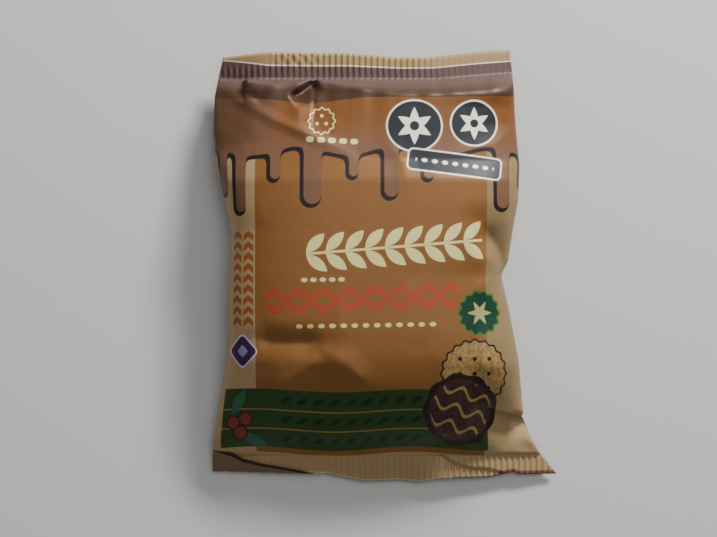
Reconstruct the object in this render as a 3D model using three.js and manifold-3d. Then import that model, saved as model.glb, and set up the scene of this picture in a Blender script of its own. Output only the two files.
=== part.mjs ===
// A shut flow-wrap pack with one round filled biscuit inside, lying face up.
// Millimetres, +Z up: X runs across the pack, Y along it towards the top seal,
// and Z = 0 is the surface that it lies on.
//
// The pack is one closed shell. Rings of film run round it, from the crimped
// seal at the bottom, over the biscuit, to the crimped seal at the top.

import * as THREE from 'three';
import * as BufferGeometryUtils from 'three/addons/utils/BufferGeometryUtils.js';
import Module from 'manifold-3d';

// Driving dimensions
const BISCUIT_HEIGHT = 23;      // the biscuit holds the front film up this far
const FILM_SLACK = 1;           // height of the loose film above the biscuit
const CREST = BISCUIT_HEIGHT + FILM_SLACK;
const REST_DEPTH = 1.6;         // how far the round belly is pressed flat by the table
const BELLY_LENGTH = 62;        // of the flat part that it rests on
const CRIMP_PITCH = 1.6;        // from ridge to ridge of the seals
const CRIMP_RISE = 0.3;         // half the height of a ridge
const SEAL_THICKNESS = 0.8;
const TOP_SEAL_Y = 53.4;        // where the top seal starts
const BOTTOM_SEAL_Y = -53.2;    // where the bottom seal starts
const SEAL_WIDTH = 98;          // the flat width of the film tube
const ROW_STEP = 3.0;           // length of a row of facets on the body
const FRONT_COLUMNS = 44;
const BACK_COLUMNS = 24;
const SEAL_COLUMNS = 2 * Math.round(SEAL_WIDTH / CRIMP_PITCH);
const FIN_WIDTH = 11;           // the long seal of the back, folded flat against it
const FIN_ROOT_X = -8;
const FIN_THICKNESS = 0.6;
const FIN_LINE_DEPTH = 0.3;     // the line of the fin's free edge under the flat belly
const FIN_LINE_WIDTH = 0.6;
const FLAP_LIFT = 1.3;          // height of the folded corner at its free edge

// Outline seen from above: x at a given y for the sides, y at a given x for the ends
const LEFT_SIDE = [
  [-58.3, -49], [-50.9, -49], [-49, -48.4], [-41.9, -47.3], [-33.4, -45.6], [-20.4, -44.1],
  [-9.6, -44.3], [1.7, -43.6], [10.2, -43.3], [18.7, -45.1], [28.6, -47.5], [38.5, -48.4],
  [48.4, -48.1], [53.2, -47.3], [59.4, -45.8],
];
const RIGHT_SIDE = [
  [-59.1, 49], [-53.8, 44.7], [-49, 42.1], [-43.6, 39.8], [-43, 38.8], [-42.4, 40],
  [-37.6, 39.5], [-26.9, 38.4], [-11.6, 35.4], [-4, 33.6], [-2.5, 33.4], [1.4, 35.4],
  [9.9, 36.6], [18.7, 38.2], [28.6, 38.6], [39.9, 37.6], [55.5, 36.9], [61.8, 36.1],
];
const BOTTOM_END = [
  [-49, -58.3], [-24, -59.3], [-9, -60.3], [-5, -61.8], [4.5, -61.4], [15.8, -60.6],
  [33, -60], [37, -58.9], [40, -59.7], [49, -59.1],
];
const TOP_END = [
  [-46, 59.4], [-33, 60.8], [-11, 60.6], [4.5, 59.3], [13, 59.4], [27, 61.1], [36.2, 61.8],
];

// Side view: height at a given y of the front film, the side folds and the back film
const FRONT_HEIGHT = [
  [-53.2, 6.4], [-45, 12.6], [-36, 19], [-27, CREST - 1.2], [-18, CREST - 0.2], [0, CREST],
  [20, CREST], [30, CREST - 1], [38, 18.6], [46, 12.6], [50, 10.2], [53.4, 8.6],
];
const SIDE_HEIGHT = [
  [-53.2, 4.4], [-40, 7.6], [-20, 10], [0, 10.5], [25, 10.5], [42, 8.6], [53.4, 7.4],
];
const BACK_HEIGHT = [
  [-53.2, 3.6], [-46, 1.6], [-38, 0.1], [-28, -REST_DEPTH], [28, -REST_DEPTH], [38, 0.4],
  [46, 3], [53.4, 6.6],
];
// How square the section is: 2 is an ellipse, and more is boxier
const SQUARENESS = [[-53.2, 2.2], [-38, 2.1], [-20, 2.7], [18, 2.9], [36, 2.2], [53.4, 2.4]];
// Height of the middle of each seal across the pack
const BOTTOM_SEAL_HEIGHT = [[-49, 2.4], [-30, 4.2], [-8, 5], [15, 4.6], [30, 3.6], [49, 1.8]];
const TOP_SEAL_HEIGHT = [[-47, 5.4], [-36, 7.4], [-20, 7], [-8, 8], [15, 7.4], [37, 5.6]];

// Folds of the front film: a path of x and y, how far its crest rises (or the
// valley sinks) and how far the fold reaches to each side
const FRONT_FOLDS = [
  // shoulder from the top left corner to the biscuit's upper rim
  { path: [[-48, 50], [-42, 46], [-28, 40], [-11, 33], [4, 30.4], [26, 31], [38, 30]],
    rise: 2, reach: 9 },
  // tuck under the top seal
  { path: [[-40, 54], [-38, 47], [-29, 46]], rise: -2.4, reach: 6 },
  { path: [[-20, 54], [-26, 48.6], [-21.5, 46.6], [-15, 44]], rise: 2.4, reach: 5 },
  { path: [[-21, 51], [-14, 47.4], [-2, 47.4]], rise: -2.6, reach: 7 },
  // slack over the lower left of the biscuit
  { path: [[-38, -19], [-27, -21.6], [-15, -22]], rise: -3.4, reach: 7 },
  { path: [[-45, -31], [-32, -28.4], [-22, -26], [-13, -23.6]], rise: 2.2, reach: 6 },
  { path: [[-15, -25], [-14, -38], [-14, -50]], rise: -3, reach: 13 },
  { path: [[-15, -25], [-9, -30], [4, -37]], rise: 1.4, reach: 7 },
  // pinch at the right side, and the soft crease below it
  { path: [[27, 10], [31, 2], [34, -2.5]], rise: -3, reach: 7 },
  { path: [[31, -12], [33, -30], [34, -41]], rise: 1.2, reach: 6 },
  // side tuck above the tail
  { path: [[25, -40], [32, -41.6], [41, -43]], rise: -3.4, reach: 5 },
  { path: [[25, -37.6], [33, -38.8], [41, -40]], rise: 1.8, reach: 5 },
];

// The lower left corner of the seal is folded up over the front
const FLAP_OUTLINE = [
  [-49, -58.3], [-10, -60.1], [-15, -58.9], [-24, -57.3], [-34.5, -55.8], [-42, -54.6], [-49, -51],
];

const film = new THREE.MeshStandardMaterial({
  name: 'printed_film', color: 0x8e6038, roughness: 0.38, metalness: 0.15,
});

// Straight lines through a list of places and values
function lookup(table, at) {
  if (at <= table[0][0]) return table[0][1];
  for (let i = 1; i < table.length; i++) {
    if (at <= table[i][0]) {
      const [fromAt, from] = table[i - 1];
      const [toAt, to] = table[i];
      return from + (to - from) * (at - fromAt) / (toAt - fromAt);
    }
  }
  return table[table.length - 1][1];
}

// The same lines with their corners rounded over a reach of 2 r
function smoothLookup(table, at, r = 3) {
  const near = lookup(table, at - r) + lookup(table, at + r);
  const half = lookup(table, at - r / 2) + lookup(table, at + r / 2);
  return (near + 2 * half + 2 * lookup(table, at)) / 8;
}

// Distance from a point to a path, and how far along the path that is, from 0 to 1
function nearPath(path, x, y) {
  let best = { away: Infinity, along: 0 };
  for (let i = 1; i < path.length; i++) {
    const [ax, ay] = path[i - 1];
    const [bx, by] = path[i];
    const length2 = (bx - ax) ** 2 + (by - ay) ** 2;
    const part = ((x - ax) * (bx - ax) + (y - ay) * (by - ay)) / length2;
    const t = Math.min(1, Math.max(0, part));
    const away = Math.hypot(x - ax - t * (bx - ax), y - ay - t * (by - ay));
    if (away < best.away) best = { away, along: (i - 1 + t) / (path.length - 1) };
  }
  return best;
}

// A fold has a sharp crest, hollow flanks and ends that run out
function foldRise(fold, x, y) {
  const { away, along } = nearPath(fold.path, x, y);
  if (away >= fold.reach) return 0;
  const ends = Math.min(1, 0.35 + 4 * Math.min(along, 1 - along));
  return fold.rise * ends * (1 - away / fold.reach) ** 2;
}

const sideX = (y) => [lookup(LEFT_SIDE, y), lookup(RIGHT_SIDE, y)];

// How far a section has closed from its top or bottom towards a side fold, from 1 to 0
const archAt = (spread, square) => (1 - Math.min(1, Math.abs(spread)) ** square) ** (1 / square);

// One ring of the body. Its front runs from left to right, its back returns.
function bodyRing(y) {
  const [left, right] = sideX(y);
  const middle = (left + right) / 2;
  const half = (right - left) / 2;
  const square = smoothLookup(SQUARENESS, y);
  const side = smoothLookup(SIDE_HEIGHT, y);
  const front = smoothLookup(FRONT_HEIGHT, y);
  const back = smoothLookup(BACK_HEIGHT, y);
  const ring = [];
  const add = (across, height, relief) => {
    const spread = Math.sin(across * Math.PI / 2);
    const arch = archAt(spread, square);
    const x = middle + half * spread;
    const z = side + (height - side) * arch + (relief ? relief(x) * arch ** 0.5 : 0);
    ring.push({ across, x, y, z: Math.max(0, z) });
  };
  const frontRelief = (x) => FRONT_FOLDS.reduce((sum, fold) => sum + foldRise(fold, x, y), 0);
  for (let i = 0; i <= FRONT_COLUMNS; i++) add(2 * i / FRONT_COLUMNS - 1, front, frontRelief);
  for (let i = BACK_COLUMNS - 1; i > 0; i--) add(2 * i / BACK_COLUMNS - 1, back, null);
  return { points: ring, frontCount: FRONT_COLUMNS };
}

// One ring of a crimped seal, at a share of the way from the body to its outer edge
function sealRing(isTop, share, crimp) {
  const startY = isTop ? TOP_SEAL_Y : BOTTOM_SEAL_Y;
  const endY = isTop ? TOP_END : BOTTOM_END;
  const heights = isTop ? TOP_SEAL_HEIGHT : BOTTOM_SEAL_HEIGHT;
  const ring = [];
  const add = (i, face) => {
    const across = 2 * i / SEAL_COLUMNS - 1;
    // the sides slant, so x follows the side at this point's own y
    let x = 0;
    let y = startY;
    for (let pass = 0; pass < 3; pass++) {
      const [left, right] = sideX(y);
      x = (left + right) / 2 + across * (right - left) / 2;
      y = startY + share * (lookup(endY, x) - startY);
    }
    const ridge = (i % 2 ? 1 : -1) * CRIMP_RISE * crimp(x);
    const z = smoothLookup(heights, x) + ridge + face * SEAL_THICKNESS / 2;
    ring.push({ across, x, y, z });
  };
  for (let i = 0; i <= SEAL_COLUMNS; i++) add(i, i === 0 || i === SEAL_COLUMNS ? 0 : 1);
  for (let i = SEAL_COLUMNS - 1; i > 0; i--) add(i, -1);
  return { points: ring, frontCount: SEAL_COLUMNS };
}

const rings = [];
const ridged = () => 1;
const smoothAtSides = (x) => Math.min(1, Math.max(0.2, 1.2 - (Math.abs(x + 9) - 20) / 6));
for (const share of [1, 0.6, 0.25, 0.04]) rings.push(sealRing(false, share, ridged));
const rows = Math.round((TOP_SEAL_Y - BOTTOM_SEAL_Y) / ROW_STEP);
for (let row = 0; row <= rows; row++) {
  const inset = 0.6;
  const share = row / rows;
  rings.push(bodyRing(BOTTOM_SEAL_Y + inset + share * (TOP_SEAL_Y - BOTTOM_SEAL_Y - 2 * inset)));
}
for (const share of [0.04, 0.5]) rings.push(sealRing(true, share, ridged));
for (const share of [0.6, 1]) rings.push(sealRing(true, share, smoothAtSides));

// The shell: rings joined by bands of triangles, and closed at both ends
const positions = [];
const triangles = [];
for (const ring of rings) {
  ring.first = positions.length / 3;
  for (const point of ring.points) positions.push(point.x, point.y, point.z);
}

// Joins two rows of points that may differ in number, always by the shorter step
function stitch(low, high) {
  let a = 0;
  let b = 0;
  while (a < low.length - 1 || b < high.length - 1) {
    const nextLow = a < low.length - 1 ? low[a + 1].place : Infinity;
    const nextHigh = b < high.length - 1 ? high[b + 1].place : Infinity;
    if (nextLow <= nextHigh) {
      triangles.push(low[a].index, low[a + 1].index, high[b].index);
      a++;
    } else {
      triangles.push(low[a].index, high[b + 1].index, high[b].index);
      b++;
    }
  }
}

function rowOf(ring, isFront) {
  const count = ring.points.length;
  const row = [];
  const from = isFront ? 0 : ring.frontCount;
  const to = isFront ? ring.frontCount : count;
  for (let i = from; i <= to; i++) {
    const across = ring.points[i % count].across;
    row.push({ index: ring.first + (i % count), place: isFront ? across : -across });
  }
  return row;
}

for (let i = 1; i < rings.length; i++) {
  stitch(rowOf(rings[i - 1], true), rowOf(rings[i], true));
  stitch(rowOf(rings[i - 1], false), rowOf(rings[i], false));
}

// An end cap is a strip between the front and the back of the outermost ring
function cap(ring, isTop) {
  const count = ring.points.length;
  for (let i = 0; i < ring.frontCount; i++) {
    const back = ring.first + (count - i) % count;
    const backNext = ring.first + count - i - 1;
    const front = ring.first + i;
    const frontNext = ring.first + i + 1;
    const quads = [[front, backNext, frontNext], [front, back, backNext]];
    for (const [p, q, r] of quads) {
      if (p === q || q === r || p === r) continue;
      if (isTop) triangles.push(p, r, q);
      else triangles.push(p, q, r);
    }
  }
}
cap(rings[0], false);
cap(rings[rings.length - 1], true);

const shell = new THREE.BufferGeometry();
shell.setAttribute('position', new THREE.Float32BufferAttribute(positions, 3));
shell.setIndex(triangles);

// The folded corner: a thin wedge on the seal, highest at its free edge
function flapGeometry() {
  const [corner, tip] = FLAP_OUTLINE;
  const outline = new THREE.Shape(FLAP_OUTLINE.map(([x, y]) => new THREE.Vector2(x, y)));
  const plate = new THREE.ExtrudeGeometry(outline, { depth: 1, bevelEnabled: false });
  const place = plate.attributes.position;
  const foldLength = Math.hypot(tip[0] - corner[0], tip[1] - corner[1]);
  for (let i = 0; i < place.count; i++) {
    const x = place.getX(i);
    const y = place.getY(i);
    const turn = (tip[0] - corner[0]) * (y - corner[1]) - (tip[1] - corner[1]) * (x - corner[0]);
    const fromFold = turn / foldLength;
    const seal = smoothLookup(BOTTOM_SEAL_HEIGHT, x);
    const upper = seal + 0.9 + FLAP_LIFT * Math.min(1, fromFold / 6) + 0.12 * Math.max(0, fromFold - 2);
    place.setZ(i, place.getZ(i) > 0.5 ? upper : seal);
  }
  return plate;
}

// The fin seal lies along the middle of the back, proud of it outside the flat belly
function finGeometry() {
  const length = TOP_SEAL_Y - BOTTOM_SEAL_Y;
  const ribbon = new THREE.BoxGeometry(FIN_WIDTH, length, 1, 2, rows, 1);
  ribbon.translate(FIN_ROOT_X + FIN_WIDTH / 2, BOTTOM_SEAL_Y + length / 2, 0);
  const place = ribbon.attributes.position;
  for (let i = 0; i < place.count; i++) {
    const y = place.getY(i);
    const [left, right] = sideX(y);
    const spread = (place.getX(i) - (left + right) / 2) / ((right - left) / 2);
    const side = smoothLookup(SIDE_HEIGHT, y);
    const arch = archAt(spread, smoothLookup(SQUARENESS, y));
    const skin = side + (smoothLookup(BACK_HEIGHT, y) - side) * arch;
    const outer = Math.max(FIN_LINE_DEPTH, skin - FIN_THICKNESS);
    place.setZ(i, place.getZ(i) < 0 ? outer : Math.max(outer + 0.5, skin + 0.5));
  }
  return ribbon;
}

function finLineGeometry() {
  const line = new THREE.BoxGeometry(FIN_LINE_WIDTH, BELLY_LENGTH, 2 * FIN_LINE_DEPTH);
  line.translate(FIN_ROOT_X + FIN_WIDTH, 0, 0);
  return line;
}

const wasm = await Module();
wasm.setup();

function toSolid(geometry) {
  const bare = geometry.clone();
  bare.deleteAttribute('normal');
  bare.deleteAttribute('uv');
  const merged = BufferGeometryUtils.mergeVertices(bare, 1e-4);
  return new wasm.Manifold(new wasm.Mesh({
    numProp: 3,
    vertProperties: new Float32Array(merged.attributes.position.array),
    triVerts: new Uint32Array(merged.index.array),
  }));
}

function toGeometry(solid) {
  const mesh = solid.getMesh();
  const geometry = new THREE.BufferGeometry();
  geometry.setAttribute('position', new THREE.BufferAttribute(mesh.vertProperties, 3));
  geometry.setIndex(new THREE.BufferAttribute(mesh.triVerts, 1));
  return geometry;
}

const wrapped = toSolid(shell).add(toSolid(flapGeometry())).add(toSolid(finGeometry()));
const packGeometry = toGeometry(wrapped.subtract(toSolid(finLineGeometry())));

// The origin is the middle of the pack's box, on the surface below it
packGeometry.computeBoundingBox();
const box = packGeometry.boundingBox;
packGeometry.translate(-(box.min.x + box.max.x) / 2, -(box.min.y + box.max.y) / 2, -box.min.z);

const pack = new THREE.Mesh(packGeometry, film);
pack.name = 'pack';

const part = new THREE.Group();
part.name = 'flow_wrap_pack';
part.add(pack);

export default part;
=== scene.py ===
# %% [markdown]
# # A sealed flow wrap with a filled biscuit inside
#
# A flow wrap starts as a flat web of printed film. A machine folds the web into a tube round each
# biscuit, welds its two edges into a long fin seal on the back, and crimps the tube shut at both ends
# with ribbed jaws. This lesson makes the pack in the same order: a flat sheet, bent into the shut pack,
# folded, and then printed with a node material. Lengths are in millimetres until the mesh is placed.

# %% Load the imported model
import math

import bpy
import numpy as np
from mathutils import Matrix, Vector


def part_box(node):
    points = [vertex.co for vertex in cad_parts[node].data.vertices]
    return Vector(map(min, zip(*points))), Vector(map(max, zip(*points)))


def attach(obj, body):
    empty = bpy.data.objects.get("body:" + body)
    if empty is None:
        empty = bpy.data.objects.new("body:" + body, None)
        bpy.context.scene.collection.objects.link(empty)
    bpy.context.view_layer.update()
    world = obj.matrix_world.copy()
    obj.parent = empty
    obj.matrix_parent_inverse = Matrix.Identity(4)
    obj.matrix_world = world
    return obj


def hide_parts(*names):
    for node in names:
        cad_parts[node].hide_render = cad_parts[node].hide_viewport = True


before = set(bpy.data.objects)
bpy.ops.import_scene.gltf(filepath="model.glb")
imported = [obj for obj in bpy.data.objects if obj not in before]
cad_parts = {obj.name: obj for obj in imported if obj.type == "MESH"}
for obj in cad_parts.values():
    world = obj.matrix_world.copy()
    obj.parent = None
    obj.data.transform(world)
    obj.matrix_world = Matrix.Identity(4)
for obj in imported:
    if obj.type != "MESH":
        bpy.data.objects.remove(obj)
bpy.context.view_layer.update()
pack_low, pack_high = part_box("pack")
MM = 0.001
print("pack solid, mm:", [round(c / MM, 1) for c in pack_low], [round(c / MM, 1) for c in pack_high])

# %% [markdown]
# ## The outline
#
# Soft film has no straight profile, but its outline is easy to read from above. Each side and each end is a
# short list of places and values, joined by straight lines, so a list needs only the points that the shape
# needs. The sides pull in where the film is slack and come out again at the seals.

# %% Outline from above
TOP_SEAL_Y = 53.3
BOTTOM_SEAL_Y = -53.9
SEAL_LENGTH = 7.8
LEFT_SIDE = [                    # y, and x there
    (-67, -49), (-50.9, -49), (-49, -48.4), (-41.9, -47.3), (-33.4, -45.6), (-20.4, -44.1),
    (-9.6, -44.3), (1.7, -43.6), (10.2, -43.3), (18.7, -45.1), (28.6, -47.5), (38.5, -48.4),
    (48.4, -48.1), (53.2, -47.3), (59.4, -45.8),
]
RIGHT_SIDE = [                   # y, and x there
    (-59.7, 49.8), (-53.9, 45.2), (-49, 42.3), (-43.6, 40), (-43, 39.5), (-42.4, 40),
    (-37.6, 39.5), (-26.9, 38.4), (-11.6, 35.4), (-4, 33.6), (-2.5, 33.4), (1.4, 35.4),
    (9.9, 36.6), (18.7, 38.2), (28.6, 38.6), (39.9, 37.6), (55.5, 36.9), (61.8, 36.1),
]
BOTTOM_END = [                   # x, and y there, before the left corner is turned up
    (-49, -66.8), (-43.4, -65.1), (-40.5, -63.6), (-34.8, -62.4), (-23.2, -60.9), (-17, -59.6),
    (-12, -60.6), (-5.1, -62), (4.5, -61.6), (10, -62.2), (16.1, -61.1), (30.6, -60.8), (37.6, -59.2),
    (39.2, -60), (49.8, -59.9),
]
TOP_END = [(-46, 59.4), (-33, 60.8), (-11, 60.6), (4.5, 59.3), (13, 59.4), (27, 61.1), (36.2, 61.8)]
TOP_SEAL_SKEW = [(-49, 0.6), (-40, 0), (15, 0), (37, 1.9)]      # how far its line climbs at the ends
SKEW_START_Y = 45.0


def along(table, at):
    """Straight lines through a list of places and values."""
    places, values = zip(*table)
    return np.interp(at, places, values)


SEAL_WIDTH = RIGHT_SIDE[0][1] - LEFT_SIDE[0][1]
print("bottom seal and its tail, mm wide:", SEAL_WIDTH)

# %% [markdown]
# ## The heights
#
# The heights are lists of the same kind, and a small average rounds their corners. The front stands
# highest on the plateau over the biscuit. The shoulder is the line where the film leaves the biscuit's
# rim. The brow is the line near the top seal where the film turns down steeply to it. Between the two
# lines the film is stretched straight.

# %% Heights from the side
CREST = pack_high[2] / MM - 0.4  # leaves a little height for the creases
SHOULDER_START = 24.0            # the plateau over the biscuit ends here
BELLY = 1.6                      # how far the round underside is pressed flat by the table
TAIL_TOP_Y = -41.5               # below this the right side lies down and runs out into the tail
TAIL_LEFT_X = 28.0
TAIL_SINK = 3.2
FRONT_HEIGHT = [                 # y, and z there
    (-53.9, 4.8), (-51, 8.4), (-46, 13.2), (-40, 17.6), (-33, 20.9), (-26, CREST - 1.1),
    (-18, CREST - 0.4), (5, CREST), (18, CREST - 0.3), (SHOULDER_START, CREST - 0.6), (60, CREST - 0.6),
]
SHOULDER_LINE = [                # x, and y there
    (-49, 51.6), (-46.6, 50.4), (-44.2, 48.2), (-39.3, 45.9), (-31.2, 41.3), (-21.4, 36.8),
    (-11.7, 32.5), (-3.4, 30.2), (38, 29.5),
]
SHOULDER_HEIGHT = [              # x, and z there
    (-49, 8), (-44, 10.5), (-39, 13.8), (-31, 17), (-21, 19.4), (-12, 20.6), (-3, 20.8), (38, 20.6),
]
BROW_LINE = [                    # x, and y there
    (-49, 53), (-39.8, 52.8), (-39, 52.2), (-37.7, 51.9), (-26.3, 50.1), (-20.5, 52.8), (-19, 52.8),
    (-13.9, 51.3), (-9, 50), (-3.4, 48.7), (4.5, 47.6), (38, 47.4),
]
BROW_HEIGHT = [                  # x, and z there
    (-49, 8), (-39.8, 8.6), (-39, 13.4), (-24, 14.4), (-20.6, 12.6), (-19.6, 11.4),
    (-13.9, 14.2), (-9, 15.8), (4.5, 17.5), (38, 17.1),
]
BROW_FOOT = 7.6                  # height at the seal
BROW_CURVE = 1.6                 # 1 would be a straight drop from brow to seal
SIDE_HEIGHT = [(-53.9, 4.5), (-40, 7.6), (-20, 10), (0, 10.5), (25, 10.5), (42, 9), (53.3, 7.5)]
BACK_HEIGHT = [
    (-53.9, 4.2), (-46, 1.6), (-38, 0.1), (-28, -BELLY), (28, -BELLY), (38, 0.4), (46, 3), (53.3, 7.1),
]
SQUARENESS = [(-53.9, 2.4), (-38, 2.1), (-20, 2.7), (18, 2.9), (36, 2.2), (53.3, 2.6)]
SEAL_SQUARENESS = 9              # a seal's section is nearly a flat box
BOTTOM_SEAL_HEIGHT = [(-49, 3.4), (-30, 4.4), (-8, 5), (15, 4.6), (30, 3.6), (49, 1.6)]
BOTTOM_SEAL_DROOP = [(-49, 1.6), (-40, 2.2), (8, 2.2), (18, 0), (49, 0)]
TOP_SEAL_HEIGHT = [(-47, 5.4), (-36, 7.4), (-20, 7), (-8, 8), (15, 7.4), (37, 5.6)]
TOP_SEAL_LIFT = [(-49, 1.4), (-30, 1.4), (-18, 0.4), (10, 0), (37, 0)]


def soft(table, at, reach=3.0):
    """The lines of along with their corners rounded."""
    total = along(table, at - reach) + along(table, at + reach)
    total = total + 2 * (along(table, at - reach / 2) + along(table, at + reach / 2))
    return (total + 2 * along(table, at)) / 8


def ramp(distance, length):
    """0 at the start of a stretch and 1 at its end."""
    return np.clip(distance / length, 0, 1)


print("crest, mm:", round(CREST, 1))

# %% [markdown]
# ## The flat web
#
# The real pack starts as one flat sheet, so the mesh does too: a grid primitive. Its columns run round
# the tube and its rows run along it. The grid's first and last column meet on the back of the pack.

# %% Add the sheet as a grid
COLUMNS = 600                    # round the tube: half of them lie on the front
ROWS_BOTTOM_SEAL = 16
ROWS_BODY = 138
ROWS_TOP_SEAL = 11
ROWS = ROWS_BOTTOM_SEAL + ROWS_BODY + ROWS_TOP_SEAL
ROW_PLACES = [(0, BOTTOM_SEAL_Y), (22, -38), (86, 28), (ROWS_BODY, TOP_SEAL_Y)]      # closer near the seals

bpy.ops.object.select_all(action="DESELECT")
bpy.ops.mesh.primitive_grid_add(x_subdivisions=COLUMNS, y_subdivisions=ROWS, size=1)
wrap = bpy.context.object
wrap.name = "flow_wrap"
sheet = np.empty(len(wrap.data.vertices) * 3)
wrap.data.vertices.foreach_get("co", sheet)
sheet = sheet.reshape(-1, 3)
column = np.rint((sheet[:, 0] + 0.5) * COLUMNS)
row = np.rint((sheet[:, 1] + 0.5) * ROWS)
print("sheet vertices:", len(sheet), "columns", COLUMNS, "rows", ROWS)

# %% [markdown]
# ## From sheet to tube
#
# Each vertex gets a place across the pack, from -1 at the left edge to 1 at the right edge, on the front
# or on the back. In the body the section is a rounded cushion, a so-called superellipse. At the seals it
# is flat. A weight called flat blends one into the other.

# %% Places round the tube
turn = column / COLUMNS
is_front = (turn >= 0.25) & (turn <= 0.75)
across = np.where(is_front, 4 * (turn - 0.5), np.where(turn < 0.25, -4 * turn, 4 * (1 - turn)))
bottom_share = ramp(ROWS_BOTTOM_SEAL - row, ROWS_BOTTOM_SEAL)
top_share = ramp(row - ROWS_BOTTOM_SEAL - ROWS_BODY, ROWS_TOP_SEAL)
start_y = along(ROW_PLACES, row - ROWS_BOTTOM_SEAL)
FLATTEN_LENGTH = 9.0             # the tube flattens over this length before a seal
into_body = np.minimum(start_y - BOTTOM_SEAL_Y, TOP_SEAL_Y - start_y)
flat = (1 - ramp(into_body, FLATTEN_LENGTH)) ** 2
spread = (1 - flat) * np.sin(across * np.pi / 2) + flat * across

# The width depends on y, and the slanted ends on x, so a few rounds settle both.
y = start_y.copy()
for settle in range(4):
    left, right = along(LEFT_SIDE, y), along(RIGHT_SIDE, y)
    x = (left + right) / 2 + spread * (right - left) / 2
    skew = along(TOP_SEAL_SKEW, x) * ramp(start_y - SKEW_START_Y, TOP_SEAL_Y - SKEW_START_Y)
    y = start_y + skew + bottom_share * (along(BOTTOM_END, x) - start_y)
    y = y + top_share * (along(TOP_END, x) - start_y - skew)

square = (1 - flat) * soft(SQUARENESS, y) + flat * SEAL_SQUARENESS
arch = (1 - np.minimum(np.abs(spread), 1) ** square) ** (1 / square)
seal_height = np.where(y < 0, soft(BOTTOM_SEAL_HEIGHT, x), soft(TOP_SEAL_HEIGHT, x))
droop = soft(BOTTOM_SEAL_DROOP, x) * bottom_share
seal_height = seal_height - droop + soft(TOP_SEAL_LIFT, x) * top_share
tail_share = ramp(x - TAIL_LEFT_X, 8) * ramp(TAIL_TOP_Y - y, 3)     # comes in over a few millimetres
side_height = (1 - flat) * (soft(SIDE_HEIGHT, y) - TAIL_SINK * tail_share) + flat * seal_height
print("outline, mm:", x.min().round(1), x.max().round(1), y.min().round(1), y.max().round(1))

# %% [markdown]
# ## Height of the cushion
#
# The height at the sides and the rise above it are multiplied by an arch that is 1 in the middle and 0 at
# the sides. Above the plateau the rise follows the shoulder and the brow instead of the plain list.

# %% Shoulder and brow
shoulder_y, shoulder_z = soft(SHOULDER_LINE, x), soft(SHOULDER_HEIGHT, x)
brow_y, brow_z = along(BROW_LINE, x), along(BROW_HEIGHT, x)
foot = ramp(y - skew - brow_y, TOP_SEAL_Y - brow_y)
down = ramp(y - skew - shoulder_y, np.maximum(brow_y - shoulder_y, 0.3))
up = ramp(shoulder_y - y, shoulder_y - SHOULDER_START)
stretched = shoulder_z + down * (brow_z - shoulder_z) + up * (soft(FRONT_HEIGHT, y) - shoulder_z)
stretched = stretched + foot ** BROW_CURVE * (BROW_FOOT - brow_z)
front_height = np.where(y > SHOULDER_START, stretched, soft(FRONT_HEIGHT, y))
rise = np.where(is_front, front_height, soft(BACK_HEIGHT, y)) - soft(SIDE_HEIGHT, y)
z = side_height + rise * arch
print("height range before folding, mm:", z.min().round(2), z.max().round(2))

# %% [markdown]
# ## Film coordinates for the print
#
# The print was on the web before the pack was made, so it has to follow the film. A UV map holds, for
# each corner, its place on the flat artwork in millimetres: u is the length of film from the middle of
# the panel, and v runs along the pack. The back panel lies beside the front one on the same artwork.

# %% Measure the film round each ring
BACK_PANEL_U = 120.0             # where the middle of the back panel lies on the artwork
by_row = row.astype(int) * (COLUMNS + 1) + column.astype(int)
place = np.empty((ROWS + 1) * (COLUMNS + 1), dtype=int)
place[by_row] = np.arange(len(sheet))
grid = place.reshape(ROWS + 1, COLUMNS + 1)
ring_x, ring_z = x[grid], z[grid]
step = np.hypot(np.diff(ring_x, axis=1), np.diff(ring_z, axis=1))
run = np.concatenate([np.zeros((ROWS + 1, 1)), np.cumsum(step, axis=1)], axis=1)
middle = COLUMNS // 2
film_run = run - run[:, middle:middle + 1]
half_run = film_run[:, -1:]
left_back = np.arange(COLUMNS + 1)[None, :] < middle
u_front = film_run + ring_x[:, middle:middle + 1]
u_back = BACK_PANEL_U + np.where(left_back, -half_run - film_run, half_run - film_run)
print("film round the middle, mm:", run[ROWS // 2, -1].round(1))

# %% [markdown]
# ## Folds
#
# Film doesn't stretch, so loose film makes flat facets that meet in sharp creases. A crease is a path of
# a few points. The surface rises to a crest on the path, or sinks to a valley, and runs out at a given
# reach. A step is a fold that lies over its neighbour: the film past it starts lower.

# %% Creases and steps
END_SHARE = 0.25                 # of a crease's height is left at its ends
HOLLOW = 0.45                    # how hollow its flanks are, 0 for straight ones


def near_path(path, px, py):
    """Distance to a path, the side of it (1 is left of its direction) and the share along it."""
    away = np.full(px.shape, np.inf)
    side = np.ones(px.shape)
    share = np.zeros(px.shape)
    for index, ((ax, ay), (bx, by)) in enumerate(zip(path, path[1:])):
        dx, dy = bx - ax, by - ay
        part = ramp((px - ax) * dx + (py - ay) * dy, dx * dx + dy * dy)
        distance = np.hypot(px - ax - part * dx, py - ay - part * dy)
        nearer = distance < away
        away = np.where(nearer, distance, away)
        side = np.where(nearer, np.sign(dx * (py - ay) - dy * (px - ax)), side)
        share = np.where(nearer, (index + part) / (len(path) - 1), share)
    return away, side, share


def crease(px, py, path, height, reach, blunt=0.25, run_out=0.3):
    """A ridge or valley whose flanks run out over reach. Its crest is rounded over blunt millimetres, and
    it grows lower over run_out, a share of the path, at each end.
    """
    away, _, share = near_path(path, px, py)
    ends = ramp(np.minimum(share, 1 - share), run_out)
    ends = END_SHARE + (1 - END_SHARE) * ends * ends * (3 - 2 * ends)
    away = np.sqrt(away * away + blunt * blunt) - blunt
    flank = 1 - ramp(away, reach)
    return height * ends * flank * (1 - HOLLOW + HOLLOW * flank)


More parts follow.
